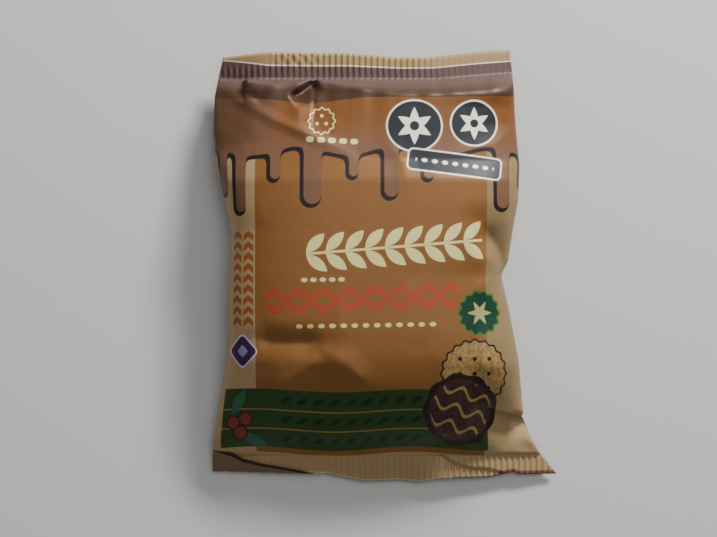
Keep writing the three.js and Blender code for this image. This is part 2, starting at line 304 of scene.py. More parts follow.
def step_fold(px, py, path, drop, reach, sharp=0.2, run_out=0.2):
    """Film on the right of the path lies lower by drop, and comes level again over reach."""
    away, side, share = near_path(path, px, py)
    ends = ramp(np.minimum(share, 1 - share), run_out)
    right_side = 0.5 - 0.5 * np.tanh(side * away / sharp)
    return -drop * ends * right_side * (1 - ramp(away, reach))


FRONT_CREASES = [                # path, height, reach
    # shoulder from the top left corner to the biscuit's upper rim
    ([(-46.6, 50.4), (-39.3, 45.9), (-31.2, 41.3), (-21.4, 36.8), (-10, 31.6)], 0.8, 2.6),
    # right edge of the lit facet beside the pocket
    ([(-19.4, 52.6), (-19.8, 48.5), (-18, 44.6)], 0.6, 3),
    # slack over the lower left of the biscuit
    ([(-38, -20.5), (-27, -21.6), (-15.6, -21.2)], -1.8, 5.5),
    ([(-33, -37), (-25, -30.5), (-16.2, -24.8)], 0.9, 5.5),
    ([(-16.4, -24.2), (-9.4, -28), (-4.2, -34)], 0.8, 5),
    ([(-16.5, -26.5), (-19, -34), (-21, -44)], -1.2, 8),
    ([(-27, -43), (-15, -40.5), (-3, -43)], -2.0, 11),
    # pinch at the right side, and the soft crease below it
    ([(27, 12), (32.5, 4), (34.5, -2.5)], -3.4, 6.5),
    ([(31, -12), (33, -30), (34, -41)], 0.8, 6),
    ([(24, -27), (32, -28), (42, -29)], 2.6, 14),
    ([(28, -40.3), (34, -41.8), (41, -42.9)], -2.4, 8),
    ([(22, 10), (29, 2), (34, -3)], 0.7, 4),
    ([(24, -8), (30, -4), (34, -3)], 0.7, 5),
    # facets above the bottom seal
    ([(-29, -56), (-21.2, -52.9), (-17, -54.5)], 0.5, 3),
    ([(10, -54), (16, -50), (26, -48)], -0.7, 5),
]
FRONT_STEPS = [                  # path, drop, reach, and how sharp the edge is
    # side tuck above the tail
    ([(25, -39.4), (32, -41.4), (37, -42.2), (44, -43.2)], 5.0, 10.6, 0.25),
    # pocket under the top seal
    ([(-26.8, 47.9), (-23, 50.2), (-19.2, 53.2)], 4.2, 4.8, 0.7),
    # corner of the dent at the left
    ([(-34, 45.2), (-38.9, 48.2), (-39.4, 52.8)], 0.8, 9, 0.3),
]

front_relief = np.zeros(x.shape)
for path, height, reach in FRONT_CREASES:
    front_relief += crease(x, y, path, height, reach)
for path, drop, reach, sharp in FRONT_STEPS:
    front_relief += step_fold(x, y, path, drop, reach, sharp)
print("front folds, mm:", front_relief.min().round(2), front_relief.max().round(2))

# %% [markdown]
# ## Puckers at the seals
#
# The jaws clamp the tube flat while the biscuit holds it open, so short puckers fan out from each seal
# into the body. They are uneven: a few waves of different lengths added up, with their starts drawn from
# a seeded generator so that each run gives the same pack.

# %% Puckers
chance = np.random.default_rng(12)


def uneven_wave(at, lengths, starts):
    """Waves of several lengths added up, from -1 to 1 at most."""
    total = np.zeros(at.shape)
    for length, start in zip(lengths, starts):
        total += np.sin(2 * np.pi * at / length + start)
    return total / len(lengths)


PUCKER_LENGTHS = (17.0, 9.5, 6.3)
PUCKER_FADE = 7.0                # how far they run into the body
PUCKER_START = 2.5               # they grow to full size over this length from the seal
FRONT_PUCKER, BACK_PUCKER = 0.5, 0.8
pucker = np.zeros(x.shape)
for faces, size in ((is_front, FRONT_PUCKER), (~is_front, BACK_PUCKER)):
    for near_y, ends in ((TOP_SEAL_Y, y > 0), (BOTTOM_SEAL_Y, y < 0)):
        wave = uneven_wave(x, PUCKER_LENGTHS, chance.uniform(0, 2 * np.pi, 3))
        fade = np.exp(-np.abs(y - near_y) / PUCKER_FADE) * ramp(into_body, PUCKER_START)
        pucker += np.where(faces & ends, size * wave * fade, 0)
print("puckers, mm:", np.abs(pucker).max().round(2))

# %% [markdown]
# ## Handling creases
#
# A pack that has been carried has faint creases all over. They are short ridges and valleys, drawn from
# the seeded generator. Where the biscuit fills the film from inside, on the plateau, they are weakest.

# %% Short creases all over
CREASE_COUNT = 44
CREASE_BEND = 0.3                # radians that a crease's end is swung off its heading
PLATEAU_DEPTH = 3.0              # creases grow weaker over this height up to the crest
PLATEAU_CALM = 0.6               # the share of their height that is lost there
handled = np.zeros(x.shape)
for number in range(CREASE_COUNT):
    start = np.array([chance.uniform(-46, 38), chance.uniform(-50, 50)])
    heading = chance.uniform(0, np.pi)
    length = chance.uniform(5, 16)
    middle_point = start + length / 2 * np.array([np.cos(heading), np.sin(heading)])
    end = start + length * np.array([np.cos(heading + CREASE_BEND), np.sin(heading + CREASE_BEND)])
    height = chance.uniform(0.12, 0.4) * chance.choice([-1, 1])
    on_front = number % 2 == 0
    slack = crease(x, y, [start, middle_point, end], height, chance.uniform(2, 5))
    handled += np.where(is_front == on_front, slack, 0)
plateau = ramp(z - CREST + PLATEAU_DEPTH, PLATEAU_DEPTH) * is_front
handled *= 1 - PLATEAU_CALM * plateau
print("handling creases, mm:", handled.min().round(2), handled.max().round(2))

# %% [markdown]
# ## Crimped seals
#
# The jaws press ridges about 1.7 mm apart into the film. Both layers follow the same ridges, so the seal
# stays thin. The ridges are strong where the jaws met squarely, and weak where the film lay askew. One
# corner of the bottom seal will be folded over, and its ridges are ironed out by the fold.

# %% Crimps
CRIMP_PITCH = 1.7
CRIMP_HEIGHT = 0.27
GOLD_EDGE_START = 0.42           # the pale edge's share of the top seal begins here
SEAL_HALF_THICKNESS = 0.09       # it runs out at the end and the sides, where the layers are welded
TOP_STRENGTH = [(-49, 0.7), (-40, 1.1), (-20, 0.9), (5, 1), (20, 0.35), (37, 0.25)]
TOP_EDGE_STRENGTH = [(-49, 0), (-33, 0.05), (-30, 0.8), (8, 0.8), (16, 0.15), (37, 0.1)]
BOTTOM_STRENGTH = [(-49, 0.2), (-18, 0.3), (-14, 0.9), (12, 1), (17, 0.4), (21, 1), (49, 0.9)]
FOLD_START = np.array([-49.0, -58.7])
FOLD_END = np.array([-17.0, -59.5])
fold_line = (FOLD_END - FOLD_START) / np.linalg.norm(FOLD_END - FOLD_START)
outward = np.array([fold_line[1], -fold_line[0]])
past = (x - FOLD_START[0]) * outward[0] + (y - FOLD_START[1]) * outward[1]

seal_share = np.maximum(bottom_share, top_share)
in_seal = seal_share > 0
gold_edge = ramp(top_share - GOLD_EDGE_START, 0.1)
top_strength = (1 - gold_edge) * along(TOP_STRENGTH, x) + gold_edge * along(TOP_EDGE_STRENGTH, x)
strength = np.where(y < 0, along(BOTTOM_STRENGTH, x), top_strength)
strength = strength * ramp(seal_share, 0.2)
ironed = ramp(past + 1.5, 1.5) * ramp(FOLD_END[0] + 6 - x, 6) * (y < 0)
strength = strength * (1 - ironed)
crimp = np.where(in_seal, CRIMP_HEIGHT * strength * np.sin(2 * np.pi * x / CRIMP_PITCH), 0)
# Slanting wrinkles cross the pale edge where the jaws caught it askew.
WRINKLE_X, WRINKLE_REACH, WRINKLE_PITCH, WRINKLE_HEIGHT = -24.0, 9.0, 3.1, 0.2
slant = WRINKLE_HEIGHT * np.sin(2 * np.pi * (x + 0.9 * y) / WRINKLE_PITCH)
slant = slant * gold_edge * (1 - ramp(np.abs(x - WRINKLE_X), WRINKLE_REACH))
seal_edge = ramp(1 - seal_share, 0.1)
thin = np.where(is_front, 1, -1) * SEAL_HALF_THICKNESS * seal_edge * (arch > 0)
print("ridges across the bottom seal:", round(SEAL_WIDTH / CRIMP_PITCH))

# %% [markdown]
# ## The tail of the bottom seal
#
# At the right the tube was wider than the pack, so the seal has a tail. A fold line runs across the seal
# where the tail begins. Left of the middle the film stands up a little like a tent, and its end curls.

# %% Tail fold and tent
TAIL_FOLD = [(13, -51), (16.5, -54), (20, -56.6), (25.5, -58.2), (30, -58.4), (37, -60)]
TENT = [(-29.5, -55.3), (-21.2, -52.7), (-17.7, -54.4)]
tail = step_fold(x, y, TAIL_FOLD, drop=1.2, reach=6)
tent = crease(x, y, TENT, height=0.7, reach=2.5)
CURL_X, CURL_REACH, CURL_HEIGHT = -11.5, 7.0, 0.35
curl = CURL_HEIGHT * (1 - ramp(np.abs(x - CURL_X), CURL_REACH)) * ramp(bottom_share - 0.8, 0.2)
seal_relief = np.where(in_seal & (y < 0), tail + tent + curl, 0)
print("tail fold and tent, mm:", seal_relief.min().round(2), seal_relief.max().round(2))

# %% [markdown]
# ## The back
#
# The biscuit's weight presses the back flat on the table. The long fin seal lies folded against it, two
# layers of film thick, with fine cross ribs. It is a low step in the same mesh.

# %% Fin seal and flat belly
FIN_LEFT, FIN_RIGHT = -8.0, 3.0
FIN_STEP = 0.25
FIN_EDGE = 0.3
FIN_RIB_PITCH = 1.5
FIN_RIB_HEIGHT = 0.05
fin = ramp(x - FIN_LEFT, FIN_EDGE) * ramp(FIN_RIGHT - x, FIN_EDGE)
fin = np.where(is_front | in_seal, 0, fin)
ribs = FIN_RIB_HEIGHT * np.sin(2 * np.pi * y / FIN_RIB_PITCH) * fin
print("fin seal, mm wide:", FIN_RIGHT - FIN_LEFT)

# %% [markdown]
# ## All heights together
#
# Seals, folds, puckers and creases are added to the cushion. On the body they fade towards the sides, so
# that front and back still meet there. The back is pressed flat on the table, and the front film is kept
# above the back film, so that no fold sinks through.

# %% Add the relief to the heights
TABLE_GAP = 0.02
LEAST_THICKNESS = 0.3
z = np.where(in_seal, side_height + thin + crimp + slant + seal_relief, z)
z = z + np.where(is_front & ~in_seal, (front_relief + pucker + handled) * np.sqrt(arch), 0)
z = z + np.where(~is_front & ~in_seal, (pucker + handled) * arch, 0)
z = np.where(is_front | in_seal, z, np.maximum(z, FIN_STEP) - FIN_STEP * fin + ribs)
z = np.maximum(z, TABLE_GAP)
turn_back = np.where(across < 0, COLUMNS // 2, 3 * COLUMNS // 2) - column.astype(int)
behind = z[grid[row.astype(int), np.clip(turn_back, 0, COLUMNS)]]
z = np.where(is_front & ~in_seal, np.maximum(z, behind + LEAST_THICKNESS * arch), z)
print("heights, mm:", z.min().round(2), z.max().round(2))

# %% [markdown]
# ## The turned-up corner
#
# One corner of the bottom seal is folded over the front and shows the back's print. The sheet is rolled
# round a fold line: film beyond the line goes round a small radius and comes back on top of the seal.

# %% Roll the corner over
FOLD_RADIUS = 0.35
FOLD_LIFT = 0.10                 # how steeply the corner springs open
FOLD_CURL = 1.2                  # above 1 it bends up more towards its tip
past = np.where((x < FOLD_END[0]) & in_seal & (y < 0), past, 0)
own_height = z - side_height
roll = np.clip(past / FOLD_RADIUS, 0, np.pi)
back_again = np.clip(past - np.pi * FOLD_RADIUS, 0, None)
shift = FOLD_RADIUS * np.sin(roll) - back_again - own_height * np.sin(roll) - past
rolled = past > 0
x = np.where(rolled, x + outward[0] * shift, x)
y = np.where(rolled, y + outward[1] * shift, y)
lifted = FOLD_RADIUS * (1 - np.cos(roll)) + own_height * np.cos(roll)
lifted = lifted + FOLD_LIFT * back_again ** FOLD_CURL
new_droop = soft(BOTTOM_SEAL_DROOP, x) * ramp(BOTTOM_SEAL_Y - y, SEAL_LENGTH)
z = np.where(rolled, side_height + droop - new_droop + lifted, z)
print("folded corner, widest mm:", back_again.max().round(1))

# %% [markdown]
# ## Put the sheet in place
#
# The new places go into the mesh in one call, in metres. The map for the print follows while the sheet's
# rows and columns still stand in order. It is written for each corner of a face, because a vertex at the
# side belongs to the front's print and to the back's.

# %% Write the places
centre_x = (pack_low[0] + pack_high[0]) / 2
bent = np.stack([x * MM + centre_x, y * MM, z * MM], axis=1)
wrap.data.vertices.foreach_set("co", bent.ravel())
print("places written:", len(bent))

# %% Write the map for the print
artwork = wrap.data.uv_layers[0]
artwork.name = "artwork"
ARTWORK_SIZE = 240.0             # millimetres of artwork for one unit of the UV map
ARTWORK_CORNER = (-60.0, -70.0)
BOTTOM_SEAL_FILM, TOP_SEAL_FILM = 8.0, 7.6      # length of film in each seal
flat_v = np.where(bottom_share > 0, BOTTOM_SEAL_Y - BOTTOM_SEAL_FILM * bottom_share, start_y)
flat_v = np.where(top_share > 0, TOP_SEAL_Y + TOP_SEAL_FILM * top_share, flat_v)
front_u, back_u = np.empty(len(sheet)), np.empty(len(sheet))
front_u[grid], back_u[grid] = u_front, u_back
corners = np.empty(len(wrap.data.loops), dtype=int)
wrap.data.loops.foreach_get("vertex_index", corners)
face_of_corner = np.repeat(np.arange(len(wrap.data.polygons)), 4)
corner_turn = turn[corners].reshape(-1, 4).mean(axis=1)[face_of_corner]
corner_front = (corner_turn > 0.25) & (corner_turn < 0.75)
u = np.where(corner_front, front_u[corners], back_u[corners])
v = flat_v[corners]
uv = np.stack([(u - ARTWORK_CORNER[0]) / ARTWORK_SIZE, (v - ARTWORK_CORNER[1]) / ARTWORK_SIZE], axis=1)
artwork.data.foreach_set("uv", uv.ravel())
print("artwork in use, mm:", (uv.max(axis=0) * ARTWORK_SIZE).round(1))

# %% [markdown]
# ## Weld the pack shut
#
# Merging by distance welds the sheet's two edges on the back and the two layers at each end, so the pack
# is one closed surface. Then its normals are made to face outwards, and it is shaded smooth.

# %% Weld and smooth
WELD_REACH = 0.002 * MM
bpy.ops.object.mode_set(mode="EDIT")
bpy.ops.mesh.select_all(action="SELECT")
bpy.ops.mesh.remove_doubles(threshold=WELD_REACH)
bpy.ops.mesh.normals_make_consistent(inside=False)
bpy.ops.object.mode_set(mode="OBJECT")
bpy.ops.object.shade_smooth()
wrap.data.update()
print("faces:", len(wrap.data.polygons), "triangles about", 2 * len(wrap.data.polygons))

# %% [markdown]
# ## Node helper and colours
#
# A node material is a small program. One helper adds a node, sets it and links it, and returns its first
# output, so that a formula reads from the inside out. Colours are written as the sRGB hex values that a
# colour picker shows, and turned into linear light, which is what the shader works in.

# %% Helpers for the material


def linear(hex_colour):
    """An sRGB hex colour as linear RGBA."""
    values = [int(hex_colour[i:i + 2], 16) / 255 for i in (1, 3, 5)]
    return [c / 12.92 if c <= 0.04045 else ((c + 0.055) / 1.055) ** 2.4 for c in values] + [1.0]


def node(tree, kind, inputs=(), output=0, **settings):
    """Adds a node. inputs is a list in socket order, or a dict by socket name or number."""
    made = tree.nodes.new(kind)
    for name, value in settings.items():
        setattr(made, name, value)
    pairs = inputs.items() if isinstance(inputs, dict) else enumerate(inputs)
    for key, value in pairs:
        socket = made.inputs[key]
        if isinstance(value, bpy.types.NodeSocket):
            tree.links.new(value, socket)
        elif value is not None:
            socket.default_value = value
    return made.outputs[output] if made.outputs else made


film = bpy.data.materials.new("printed metallised BOPP laminate")
film.use_nodes = True
tree = film.node_tree
tree.nodes.clear()
print("material:", film.name)

# %% [markdown]
# ## Shapes of the print
#
# Gravure print has crisp edges, so each shape is a mask: 1 inside and 0 outside, with an edge a fifth of a
# millimetre wide. A mask comes from a distance in millimetres that is worked out from the artwork's own
# coordinates, so no picture is needed and the edge stays crisp at any size.

# %% Artwork coordinates
PRINT_EDGE = 0.18
raw_uv = node(tree, "ShaderNodeUVMap", uv_map="artwork")
art = node(tree, "ShaderNodeVectorMath",
           [raw_uv, (ARTWORK_SIZE, ARTWORK_SIZE, 0), (ARTWORK_CORNER[0], ARTWORK_CORNER[1], 1)],
           operation="MULTIPLY_ADD")


def measure(direction, start=0.0):
    """How far the artwork's point lies in a direction. The vector art ends in 1, which adds the start."""
    return node(tree, "ShaderNodeVectorMath", [art, (direction[0], direction[1], start)], output=1,
                operation="DOT_PRODUCT")


def placed(at, angle=0.0):
    """Two coordinates in millimetres that start at a shape's centre and are turned with it."""
    cos, sin = math.cos(math.radians(angle)), math.sin(math.radians(angle))
    first = measure((cos, sin), -(at[0] * cos + at[1] * sin))
    second = measure((-sin, cos), -(at[1] * cos - at[0] * sin))
    return first, second


art_u = measure((1, 0))
art_v = measure((0, 1))
print("print edge, mm:", PRINT_EDGE)

# %% Arithmetic on coordinates


def beyond(value, line):
    """How far a value lies beyond a line. Either may be a number or a socket."""
    return node(tree, "ShaderNodeMath", [value, line], operation="SUBTRACT")


def scaled(value, by, plus=0.0):
    return node(tree, "ShaderNodeMath", [value, by, plus], operation="MULTIPLY_ADD")


def fold_over(value):
    """A coordinate that grows both ways from zero, so that what it draws is mirrored."""
    return node(tree, "ShaderNodeMath", [value], operation="ABSOLUTE")


def only_positive(value):
    return node(tree, "ShaderNodeMath", [value, 0], operation="MAXIMUM")


def cell(value, pitch):
    """A coordinate that starts again every pitch, from minus half a pitch to plus half."""
    return node(tree, "ShaderNodeMath", [value, pitch / 2, -pitch / 2], operation="WRAP")


def swinging(value, waves, start=0.0):
    """A sine of a coordinate. waves is in radians for each millimetre."""
    return node(tree, "ShaderNodeMath", [scaled(value, waves, start)], operation="SINE")


def turned(spot, angle):
    """The same point in coordinates turned by an angle."""
    cos, sin = math.cos(math.radians(angle)), math.sin(math.radians(angle))
    first = scaled(spot[0], cos, scaled(spot[1], sin))
    second = scaled(spot[1], cos, scaled(spot[0], -sin))
    return first, second


def length_of(first, second):
    squared = scaled(second, second, scaled(first, first))
    return node(tree, "ShaderNodeMath", [squared], operation="SQRT")


# %% Masks and ink


def inside(distance, edge=PRINT_EDGE):
    """Mask that is 1 where the distance is below zero."""
    return node(tree, "ShaderNodeMath", [distance, -1 / edge, 0.5], operation="MULTIPLY_ADD", use_clamp=True)


def both(first, second):
    """Mask that is 1 where two masks are."""
    return node(tree, "ShaderNodeMath", [first, second], operation="MULTIPLY")


def below(value, line, edge=PRINT_EDGE):
    return inside(beyond(value, line), edge)


def above(value, line, edge=PRINT_EDGE):
    return inside(beyond(line, value), edge)


def band(value, low, high, edge=PRINT_EDGE):
    """Mask between two lines across one coordinate."""
    return both(above(value, low, edge), below(value, high, edge))


def within(value, half):
    """Mask where a coordinate is nearer to zero than half."""
    return below(fold_over(value), half)


def paint(under, colour, mask):
    """A layer of ink over what is printed so far."""
    return node(tree, "ShaderNodeMix", {0: mask, 6: under, 7: colour}, output=2, data_type="RGBA")


# %% Shapes: each takes the coordinates from its centre and gives the distance outside itself


def disc(spot, radius):
    return beyond(length_of(*spot), radius)


def oval(spot, size):
    reach = length_of(scaled(spot[0], 1 / size[0]), scaled(spot[1], 1 / size[1]))
    return scaled(reach, min(size), -min(size))


def rounded_box(spot, size, corner):
    past_side = [only_positive(scaled(fold_over(c), 1, corner - half)) for c, half in zip(spot, size)]
    return disc(past_side, corner)


def leaf(spot, size):
    """A pointed leaf: at x of its half length it is 1 - x * x of its half width."""
    share = scaled(spot[0], 1 / size[0])
    away = scaled(fold_over(spot[1]), 1 / size[1])
    return scaled(scaled(share, share, away), size[1], -size[1])


def scalloped(spot, radius, bumps, depth):
    """A disc whose edge goes in and out."""
    angle = node(tree, "ShaderNodeMath", [spot[1], spot[0]], operation="ARCTAN2")
    edge = node(tree, "ShaderNodeMath", [scaled(angle, bumps)], operation="COSINE")
    return disc(spot, scaled(edge, depth, radius))


def wavy(base, size, length, start):
    """A line across the pack that waves gently."""
    return scaled(swinging(art_u, 2 * math.pi / length, start), size, base)


# %% [markdown]
# ## Fields of colour
#
# A gravure press lays one ink after another, and this cell does too. The large fields come first: gold
# film at the sides and ends, a caramel panel, and a glaze of chocolate that runs down in drips. The gold of
# the right side is painted darker, as painted shade. A drip is a round-ended finger, and a smooth minimum
# melts the fingers into the glaze above them. Near the shoulder the inks change softly, as a printed
# picture of a glaze does.

# %% Gold film, panel and drips
GOLD = linear("#a88c62")
SHADED_SIDE_GOLD = linear("#8c7550")
CARAMEL = linear("#84582c")
OUTLINE = linear("#241716")
GLAZE_BROWN = linear("#74513a")
GLAZE_CARAMEL = linear("#7a4c23")
SIDE_BROWN = linear("#5f402c")
PANEL_LEFT, PANEL_RIGHT = -36.3, 29.0
PANEL_BOTTOM = -52.0
GLAZE_EDGE = (31.0, 1.2, 27.0, 0.8)      # height, wave size, wave length, wave start
MELT = 3.2
RIM = 0.55                       # the dark rim shows this far round the lighter glaze
DRIPS = [                        # centre, how low its round end is centred, radius
    (-47.0, 21.0, 1.9), (-41.2, 16.0, 2.1), (-31.0, 25.0, 2.0), (-20.5, 19.0, 3.0), (-9.0, 25.5, 1.8),
    (1.5, 20.5, 2.5), (12.0, 25.0, 1.9), (33.5, 17.5, 2.6), (41.5, 23.0, 1.8),
]


def glaze(offset_u, offset_v):
    """Distance outside the glaze, moved by an offset."""
    moved_u, moved_v = beyond(art_u, offset_u), beyond(art_v, offset_v)
    distance = beyond(wavy(*GLAZE_EDGE), moved_v)
    for drip_u, drip_v, radius in DRIPS:
        under = only_positive(beyond(drip_v, moved_v))
        finger = disc((beyond(moved_u, drip_u), under), radius)
        distance = node(tree, "ShaderNodeMath", [distance, finger, MELT], operation="SMOOTH_MIN")
    return distance


colour = node(tree, "ShaderNodeRGB")
colour.default_value = GOLD
# painted shade: the gold of the right side, above the tail, is painted darker than the gold of the ends
colour = paint(colour, SHADED_SIDE_GOLD, both(above(art_v, -36, 9.0), above(art_u, 0)))
colour = paint(colour, CARAMEL, both(band(art_u, PANEL_LEFT, PANEL_RIGHT), above(art_v, PANEL_BOTTOM)))
colour = paint(colour, OUTLINE, inside(glaze(0, 0)))
colour = paint(colour, GLAZE_BROWN, below(glaze(RIM, 0.6), -RIM))
colour = paint(colour, GLAZE_CARAMEL, both(above(art_v, 37, 7.0), band(art_u, -31, 50, 5.0)))
colour = paint(colour, SIDE_BROWN, both(above(art_v, 33, 4.0), below(art_u, -38, 9.0)))
print("drips:", len(DRIPS))

# %% [markdown]
# ## The top band and the seals
#
# Under the top seal the print ends in a chocolate band with a slight dip. The ribs and the strip under
# them are painted a lighter, mauve brown, a painted sheen over the band's brown. The outer edge of the seal
# is bare gold film again, set off by a thin pale line that climbs at the left: a printed line, painted near
# white as a painted glint. At the bottom seal a pale strip along the left of the end is a painted highlight,
# where the curled edge catches the light, and at the right the web was cut a little past the print, so its
# red-brown end shows.

# %% Top band, pale line, painted edge highlight and red-brown end
CHOCOLATE_BAND = linear("#4b3223")
SEAL_BROWN_WITH_SHEEN = linear("#68524e")
PALE_INK_AND_GLINT = linear("#fbf1dc")
PAINTED_EDGE_HIGHLIGHT = linear("#d9c9a3")
RED_BROWN = linear("#80503f")
GOLD_LINE_V = 57.2
CHOCOLATE_LOW_V = 47.4
gold_line = scaled(only_positive(scaled(art_u, -0.2, -6.6)), 1, GOLD_LINE_V)
dip = only_positive(scaled(fold_over(beyond(art_u, -21)), -0.11, 1.8))
colour = paint(colour, CHOCOLATE_BAND, above(art_v, scaled(dip, -1, CHOCOLATE_LOW_V)))
# painted sheen: the ribs and the strip under the seal are painted a lighter, mauve brown than the band
colour = paint(colour, SEAL_BROWN_WITH_SHEEN, above(art_v, TOP_SEAL_Y - 2.2, 3.5))
colour = paint(colour, GOLD, above(art_v, gold_line))
# the pale line at the seal's edge is print, painted near white as a painted glint
colour = paint(colour, PALE_INK_AND_GLINT, within(beyond(art_v, gold_line), 0.18))
# painted highlight: a pale strip along the left of the bottom seal's end, where the curled edge catches the
# light
colour = paint(colour, PAINTED_EDGE_HIGHLIGHT, both(below(art_v, -61.45), below(art_u, 20)))
colour = paint(colour, RED_BROWN, both(below(art_v, -60.5), above(art_u, 33)))
print("bands and cut end, nodes so far:", len(tree.nodes))

# %% [markdown]
# ## The green band
#
# The band's edges wave gently, and the gold lines and leaf rows on it share the same wave, so one set of
# numbers draws them all. A strip of amber shows below it. The leaves repeat along a row, so one leaf is
# drawn in a coordinate that starts again at each pitch.

# %% Green band with gold lines and leaves
GREEN = linear("#2a4419")
GREEN_DARK = linear("#182c12")
OLD_GOLD = linear("#8a6a3c")
AMBER = linear("#85561e")
GREEN_WAVE = (44.0, 0.4)         # length and start
GREEN_TOP_V, GREEN_LOW_V, AMBER_LOW_V = -35.0, -52.3, -53.9
GREEN_LEFT, GREEN_RIGHT = -46.5, 30.0
GOLD_LINES_V = (-41.0, -46.6)
LEAF_ROW_V, LEAF_ROW_PITCH, LEAF_PITCH = -43.8, 5.7, 4.6
LEAVES_LEFT, LEAVES_RIGHT = -29.0, 11.0
green_top = wavy(GREEN_TOP_V, 0.5, *GREEN_WAVE)
amber = band(art_v, wavy(AMBER_LOW_V, 0.7, *GREEN_WAVE), green_top)
colour = paint(colour, AMBER, both(amber, band(art_u, PANEL_LEFT, PANEL_RIGHT)))
green_mask = both(band(art_v, wavy(GREEN_LOW_V, 0.7, *GREEN_WAVE), green_top),
                  band(art_u, GREEN_LEFT, GREEN_RIGHT))
colour = paint(colour, GREEN, green_mask)
row_v = cell(beyond(art_v, wavy(LEAF_ROW_V, 0.6, *GREEN_WAVE)), LEAF_ROW_PITCH)
row_leaf = inside(leaf(turned((cell(art_u, LEAF_PITCH), row_v), 28), (2.0, 0.75)))
leaf_field = both(green_mask, band(art_u, LEAVES_LEFT, LEAVES_RIGHT))
colour = paint(colour, GREEN_DARK, both(row_leaf, leaf_field))
for line_v in GOLD_LINES_V:
    stripe = within(beyond(art_v, wavy(line_v, 0.6, *GREEN_WAVE)), 0.22)
    colour = paint(colour, OLD_GOLD, both(stripe, green_mask))
print("green band, nodes so far:", len(tree.nodes))

# %% [markdown]
# ## The back's print
#
# The back is plainer, as on most such packs: brown with a lattice of small sprigs, and a dark line painted
# along the end of the back's film, which gives the turned-up corner its dark edge. The turned-up corner
# shows both from above. The sprigs stop short of the sides, so that none is cut by the front's gold.

# %% Brown back with sprigs
BACK_BROWN = linear("#775c48")
BACK_PALE = linear("#8a7059")
FRONT_U = 60                     # the front's print ends here, and the back's begins
SPRIG_HALF = 36.0                # half the width of the lattice
SPRIG_SIZE = (2.4, 0.8)
back_mask = node(tree, "ShaderNodeMath", [art_u, FRONT_U], operation="GREATER_THAN")
colour = paint(colour, BACK_BROWN, back_mask)
# a dark line along the end of the back's film, which gives the turned-up corner its dark edge
colour = paint(colour, OUTLINE, both(back_mask, below(art_v, -61.1)))
sprig = (cell(art_u, 12.0), cell(scaled(art_u, 0.75, art_v), 9.0))
sprig_field = both(within(beyond(art_u, BACK_PANEL_U), SPRIG_HALF), band(art_v, -46, 50))
for angle in (35, -35):
    colour = paint(colour, BACK_PALE, both(inside(leaf(turned(sprig, angle), SPRIG_SIZE)), sprig_field))
print("back, nodes so far:", len(tree.nodes))

# %% [markdown]
# ## Motifs
#
# The small motifs are plain shapes of a kind found on many sweet packs: medallions with a flower, a spray
# of grain, a braid, chevrons, a rosette and round biscuits. Each is a mask and a colour, from the back to
# the front, and what repeats along a row is one shape in cells.

# %% Medallions and a plaque
CHARCOAL = linear("#22262a")
for at, radius in (((8.6, 39.2), 8.0), ((25.6, 40.0), 7.0)):
    spot = placed(at)
    colour = paint(colour, PALE_INK_AND_GLINT, inside(oval(spot, (radius, radius * 0.94))))
    colour = paint(colour, CHARCOAL, inside(oval(spot, (radius - 0.5, radius * 0.94 - 0.5))))
    for angle in (30, 90, 150):
        petal = leaf(turned(spot, angle), (radius * 0.66, radius * 0.19))
        colour = paint(colour, PALE_INK_AND_GLINT, inside(petal))
    colour = paint(colour, CHARCOAL, inside(disc(spot, radius * 0.17)))
spot = placed((20.0, 28.4), -7)
colour = paint(colour, PALE_INK_AND_GLINT, inside(rounded_box(spot, (13.6, 3.2), 1.6)))
colour = paint(colour, CHARCOAL, inside(rounded_box(spot, (13.15, 2.75), 1.2)))
bead = inside(oval((cell(spot[0], 2.9), spot[1]), (0.8, 0.55)))
colour = paint(colour, PALE_INK_AND_GLINT, both(bead, within(spot[0], 11.2)))
print("medallions and plaque, nodes so far:", len(tree.nodes))

# %% Round biscuit outline over a row of dashes
CREAM = linear("#e2d68e")
spot = placed((-17.5, 40.6))
colour = paint(colour, CREAM, within(scalloped(spot, 3.6, 12, 0.25), 0.22))
for angle in (90, 210, 330):
    hole = turned(spot, angle)
    colour = paint(colour, CREAM, inside(disc((beyond(hole[0], 1.5), hole[1]), 0.5)))
spot = placed((-14.5, 35.0), -3)
dash = inside(rounded_box((cell(spot[0], 3.1), spot[1]), (1.05, 0.75), 0.6))
colour = paint(colour, CREAM, both(dash, within(spot[0], 7.75)))
print("biscuit outline and dashes, nodes so far:", len(tree.nodes))

# %% Spray of grain
GRAIN_PITCH = 5.5
SPRAY_HALF = 4.5 * GRAIN_PITCH
spot = placed((3.0, 5.2), 4.5)
colour = paint(colour, CREAM, inside(rounded_box(spot, (SPRAY_HALF, 0.35), 0.3)))
grain_at = (cell(spot[0], GRAIN_PITCH), scaled(fold_over(spot[1]), 1, -2.8))
grain = inside(leaf(turned(grain_at, 42), (3.7, 1.55)))
colour = paint(colour, CREAM, both(grain, within(spot[0], SPRAY_HALF)))
print("spray, mm long:", 2 * SPRAY_HALF)

# %% Braid and rows of dots
BURNT_ORANGE = linear("#a04728")
BRAID_HALF = 27.0
spot = placed((-6.0, -9.2), 2)
for way in (1, -1):
    strand = within(scaled(swinging(spot[0], 0.44), 2.5 * way, spot[1]), 1.25)
    colour = paint(colour, BURNT_ORANGE, both(strand, within(spot[0], BRAID_HALF)))
for at, half, pitch in (((-17.0, -3.9), 6.5, 2.6), ((-5.0, -16.6), 20.15, 3.1)):
    spot = placed(at, 1)
    dot = inside(oval((cell(spot[0], pitch), spot[1]), (0.9, 0.62)))
    colour = paint(colour, CREAM, both(dot, within(spot[0], half)))
print("braid, mm long:", 2 * BRAID_HALF)

